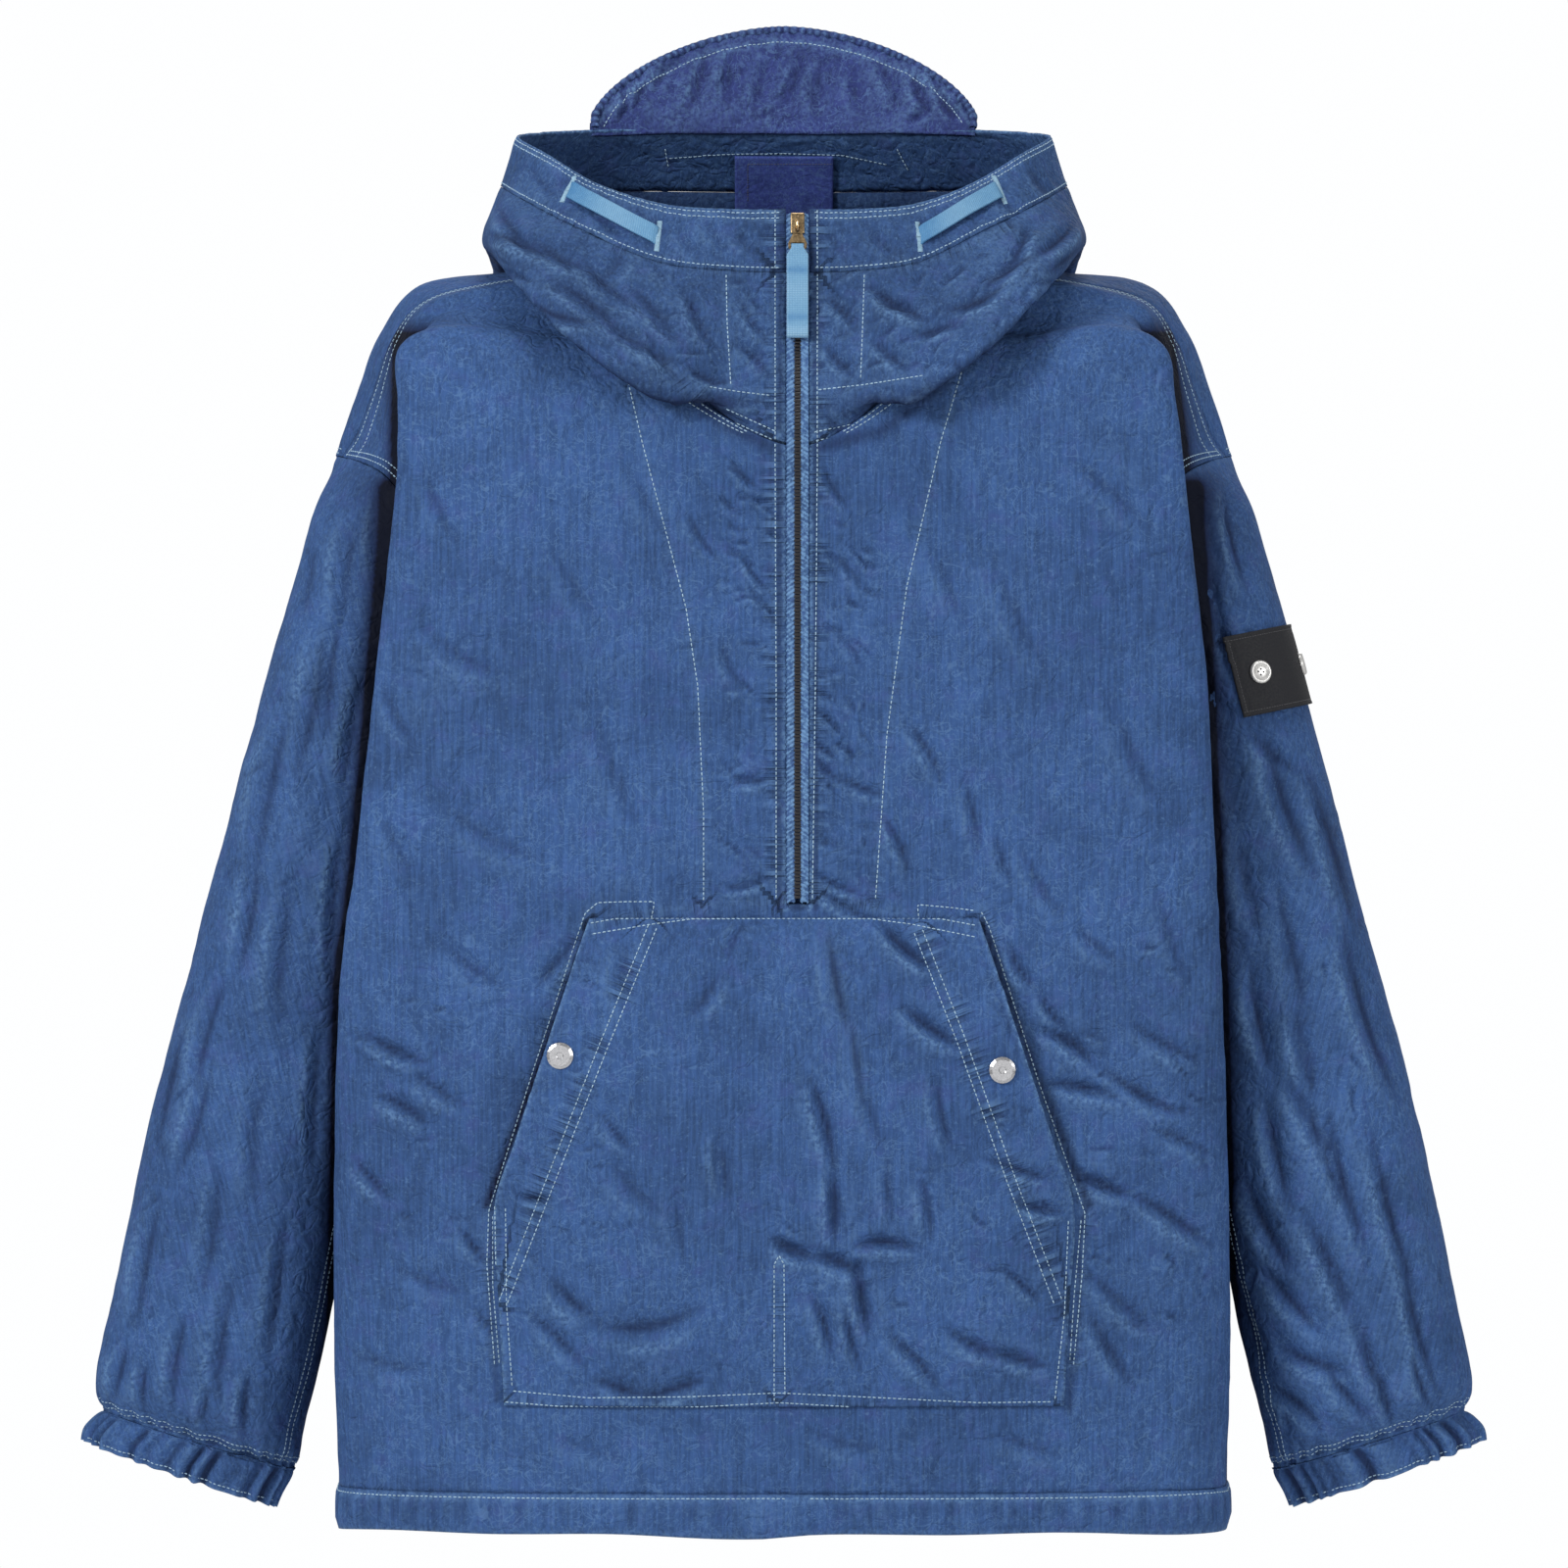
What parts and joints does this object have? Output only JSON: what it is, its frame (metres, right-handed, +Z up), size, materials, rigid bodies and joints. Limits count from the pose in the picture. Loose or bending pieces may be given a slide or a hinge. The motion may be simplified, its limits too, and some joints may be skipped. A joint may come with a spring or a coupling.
{
  "type": "hooded half-zip parka",
  "caption": "Hooded half-zip parka of crinkled cloth, filled out with no wearer, with its hood lying open, a pouch pocket, gathered cuffs, a peak and a webbing zip pull.",
  "frame": {"origin": "Between the shoulders, on the centre line and in the middle of the neck's depth, where the parka rests on what carries it", "axes": "+Z up towards the hood, +X towards the viewer's right of the front (the parka's own left), the front faces -Y"},
  "size_m": [0.8024, 0.3091, 0.8655],
  "materials": {
    "body_cloth": "garment-dyed crinkled plain weave, worn pale at the seams",
    "inner_cloth": "the cloth's darker violet-blue inner side",
    "webbing": "narrow woven webbing, unevenly dyed",
    "tape": "ribbed zip tape, worn pale",
    "teeth": "moulded zip teeth",
    "brass": "worn warm metal",
    "steel": "plain pressed snap",
    "patch": "firm dark wool patch",
    "button": "pale four-hole button"
  },
  "bodies": {
    "garment": {"body_front": "body_cloth", "body_back": "body_cloth", "sleeve_left": "body_cloth", "sleeve_right": "body_cloth", "cuff_left": "body_cloth", "cuff_right": "body_cloth", "hem_band": "body_cloth", "hood": "body_cloth", "hood_band": "body_cloth", "visor": "inner_cloth", "visor_piping": "body_cloth", "neck_label": "inner_cloth", "kangaroo_pocket": "body_cloth", "loop_left": "webbing", "loop_right": "webbing", "snap_left": "steel", "snap_right": "steel", "sleeve_badge": "patch", "badge_button_front": "button", "badge_button_back": "button", "zip_tape_left": "tape", "zip_tape_right": "tape", "zip_chain": "teeth", "zip_slider": "brass"},
    "pull": {"zip_puller": "brass", "zip_pull_tab": "webbing"}
  },
  "joints": [
    {"name": "zip_pull", "type": "hinge", "parent": "garment", "child": "pull", "pos_m": [0.0076, -0.0881, -0.0087], "axis": [-1, 0, 0], "range_deg": [0, 150]}
  ]
}
